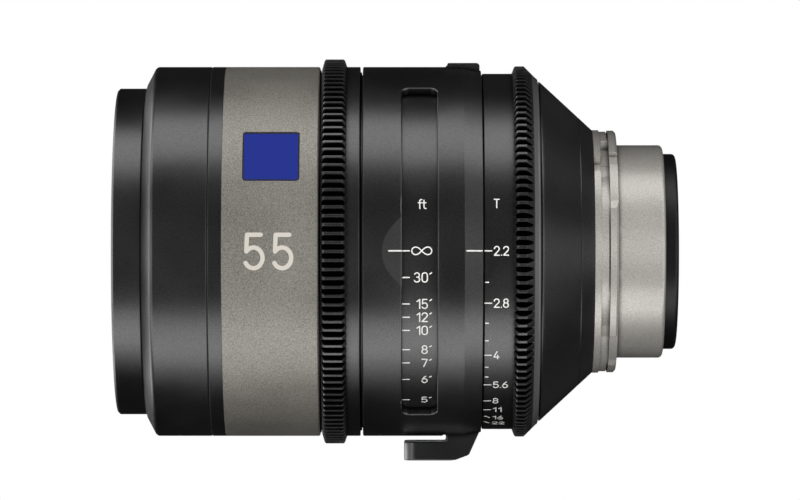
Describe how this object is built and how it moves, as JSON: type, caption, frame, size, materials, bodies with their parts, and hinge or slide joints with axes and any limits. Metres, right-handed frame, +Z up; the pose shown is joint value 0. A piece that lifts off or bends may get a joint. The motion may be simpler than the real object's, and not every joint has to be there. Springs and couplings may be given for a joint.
{
  "type": "cinema prime lens",
  "caption": "Cinema prime lens with geared focus and iris rings, a scale window, a support foot and a four-wing tube mount.",
  "frame": {"origin": "centre of the mount tube at the flange plane, which seats on the camera", "axes": "+X along the optical axis towards the camera, +Z up through the top pad, scales and index lines face -Y"},
  "size_m": [0.1621, 0.112, 0.1167],
  "materials": {
    "black_anodised": "satin black anodising",
    "black_inner": "matt black anodising",
    "satin_silver": "fine satin, warm grey",
    "badge_blue": "satin enamel",
    "mount_steel": "fine satin",
    "screw_steel": "satin",
    "cam_brass": "machined",
    "coated_glass": "polished, coated",
    "blade_black": "matt"
  },
  "bodies": {
    "lens_body": {"front_ring": "black_anodised", "front_barrel": "black_anodised", "trim_ring": "black_anodised", "housing": "black_anodised", "rear_cover": "black_anodised", "cover_end_ring": "black_anodised", "front_carrier": "black_inner", "front_cell": "black_inner", "front_retainer": "black_inner", "second_retainer": "black_inner", "main_barrel": "black_inner", "iris_plate": "black_inner", "iris_retainer": "black_inner", "rear_cell": "black_inner", "rear_group_front_retainer": "black_inner", "rear_retainer": "black_inner", "rear_guard": "black_inner", "rear_baffle": "black_inner", "grip_sleeve": "satin_silver", "badge_plate": "badge_blue", "bayonet_mount": "mount_steel", "mount_base_ring": "mount_steel", "mount_screws": "screw_steel", "mount_shim": "cam_brass", "front_element": "coated_glass", "second_element": "coated_glass", "rear_group_front_element": "coated_glass", "rear_element": "coated_glass"},
    "focus": {"focus_ring": "black_anodised", "ring_screws": "screw_steel", "cam_sleeve": "cam_brass", "scale_drum": "black_anodised", "drum_screws": "screw_steel"},
    "focus_group": {"focus_cell": "black_inner", "focus_front_element": "coated_glass", "focus_front_retainer": "black_inner", "focus_rear_element": "coated_glass", "focus_rear_retainer": "black_inner", "cam_followers": "cam_brass"},
    "iris": {"iris_ring": "black_anodised", "iris_drive_ring": "black_inner", "iris_drive_key": "screw_steel"},
    "blade_01": {"iris_blade_01": "blade_black"},
    "blade_02": {"iris_blade_02": "blade_black"},
    "blade_03": {"iris_blade_03": "blade_black"},
    "blade_04": {"iris_blade_04": "blade_black"},
    "blade_05": {"iris_blade_05": "blade_black"},
    "blade_06": {"iris_blade_06": "blade_black"},
    "blade_07": {"iris_blade_07": "blade_black"},
    "blade_08": {"iris_blade_08": "blade_black"},
    "blade_09": {"iris_blade_09": "blade_black"},
    "blade_10": {"iris_blade_10": "blade_black"},
    "blade_11": {"iris_blade_11": "blade_black"},
    "blade_12": {"iris_blade_12": "blade_black"}
  },
  "joints": [
    {"name": "focus_turn", "type": "hinge", "parent": "lens_body", "child": "focus", "pos_m": [-0.0796, 0, 0], "axis": [-1, 0, 0], "range_deg": [0, 270]},
    {"name": "focus_slide", "type": "slide", "parent": "lens_body", "child": "focus_group", "axis": [-1, 0, 0], "range_m": [0, 0.012]},
    {"name": "iris_turn", "type": "hinge", "parent": "lens_body", "child": "iris", "pos_m": [-0.03, 0, 0], "axis": [-1, 0, 0], "range_deg": [0, 72]},
    {"name": "blade_01_turn", "type": "hinge", "parent": "lens_body", "child": "blade_01", "pos_m": [-0.042, -0.023, 0], "axis": [-1, 0, 0], "range_deg": [0, 36.2]},
    {"name": "blade_02_turn", "type": "hinge", "parent": "lens_body", "child": "blade_02", "pos_m": [-0.042, -0.01992, 0.0115], "axis": [-1, 0, 0], "range_deg": [0, 36.2]},
    {"name": "blade_03_turn", "type": "hinge", "parent": "lens_body", "child": "blade_03", "pos_m": [-0.042, -0.0115, 0.01992], "axis": [-1, 0, 0], "range_deg": [0, 36.2]},
    {"name": "blade_04_turn", "type": "hinge", "parent": "lens_body", "child": "blade_04", "pos_m": [-0.042, 0, 0.023], "axis": [-1, 0, 0], "range_deg": [0, 36.2]},
    {"name": "blade_05_turn", "type": "hinge", "parent": "lens_body", "child": "blade_05", "pos_m": [-0.042, 0.0115, 0.01992], "axis": [-1, 0, 0], "range_deg": [0, 36.2]},
    {"name": "blade_06_turn", "type": "hinge", "parent": "lens_body", "child": "blade_06", "pos_m": [-0.042, 0.01992, 0.0115], "axis": [-1, 0, 0], "range_deg": [0, 36.2]},
    {"name": "blade_07_turn", "type": "hinge", "parent": "lens_body", "child": "blade_07", "pos_m": [-0.042, 0.023, 0], "axis": [-1, 0, 0], "range_deg": [0, 36.2]},
    {"name": "blade_08_turn", "type": "hinge", "parent": "lens_body", "child": "blade_08", "pos_m": [-0.042, 0.01992, -0.0115], "axis": [-1, 0, 0], "range_deg": [0, 36.2]},
    {"name": "blade_09_turn", "type": "hinge", "parent": "lens_body", "child": "blade_09", "pos_m": [-0.042, 0.0115, -0.01992], "axis": [-1, 0, 0], "range_deg": [0, 36.2]},
    {"name": "blade_10_turn", "type": "hinge", "parent": "lens_body", "child": "blade_10", "pos_m": [-0.042, 0, -0.023], "axis": [-1, 0, 0], "range_deg": [0, 36.2]},
    {"name": "blade_11_turn", "type": "hinge", "parent": "lens_body", "child": "blade_11", "pos_m": [-0.042, -0.0115, -0.01992], "axis": [-1, 0, 0], "range_deg": [0, 36.2]},
    {"name": "blade_12_turn", "type": "hinge", "parent": "lens_body", "child": "blade_12", "pos_m": [-0.042, -0.01992, -0.0115], "axis": [-1, 0, 0], "range_deg": [0, 36.2]}
  ],
  "couplings": [
    {"joint": "focus_slide", "follows": "focus_turn", "m_per_rad": 0.002546},
    {"joint": "blade_01_turn", "follows": "iris_turn", "ratio": 0.5},
    {"joint": "blade_02_turn", "follows": "iris_turn", "ratio": 0.5},
    {"joint": "blade_03_turn", "follows": "iris_turn", "ratio": 0.5},
    {"joint": "blade_04_turn", "follows": "iris_turn", "ratio": 0.5},
    {"joint": "blade_05_turn", "follows": "iris_turn", "ratio": 0.5},
    {"joint": "blade_06_turn", "follows": "iris_turn", "ratio": 0.5},
    {"joint": "blade_07_turn", "follows": "iris_turn", "ratio": 0.5},
    {"joint": "blade_08_turn", "follows": "iris_turn", "ratio": 0.5},
    {"joint": "blade_09_turn", "follows": "iris_turn", "ratio": 0.5},
    {"joint": "blade_10_turn", "follows": "iris_turn", "ratio": 0.5},
    {"joint": "blade_11_turn", "follows": "iris_turn", "ratio": 0.5},
    {"joint": "blade_12_turn", "follows": "iris_turn", "ratio": 0.5}
  ]
}
